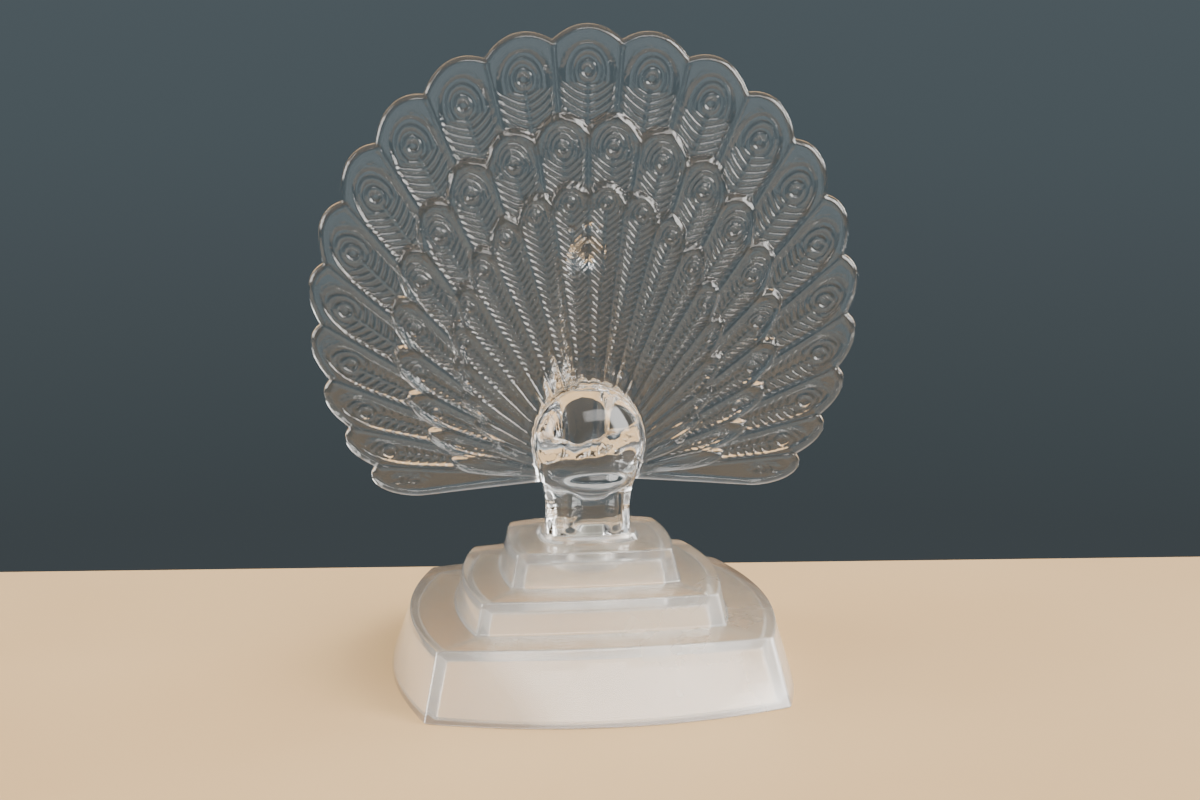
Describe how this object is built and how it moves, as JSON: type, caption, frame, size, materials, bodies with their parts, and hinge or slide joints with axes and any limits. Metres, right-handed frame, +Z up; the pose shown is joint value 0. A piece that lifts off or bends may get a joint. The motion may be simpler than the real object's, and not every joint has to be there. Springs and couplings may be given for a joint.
{
  "type": "glass peacock ornament",
  "caption": "Pressed-glass peacock with a round fanned tail in clear glass, standing on a hollow stepped plinth of satin glass.",
  "frame": {"origin": "centre of the bounding box on the ground rim that the plinth stands on", "axes": "+Z up, +X to the right seen from the fan's smooth-rump side, +Y towards the bird's breast and head"},
  "size_m": [0.2558, 0.1776, 0.3],
  "materials": {
    "clear_glass": "polished",
    "satin_glass": "satin",
    "setting_cement": "matte"
  },
  "bodies": {
    "root": {"plinth": "satin_glass", "peacock": "clear_glass", "cement_bed": "setting_cement"}
  },
  "joints": []
}
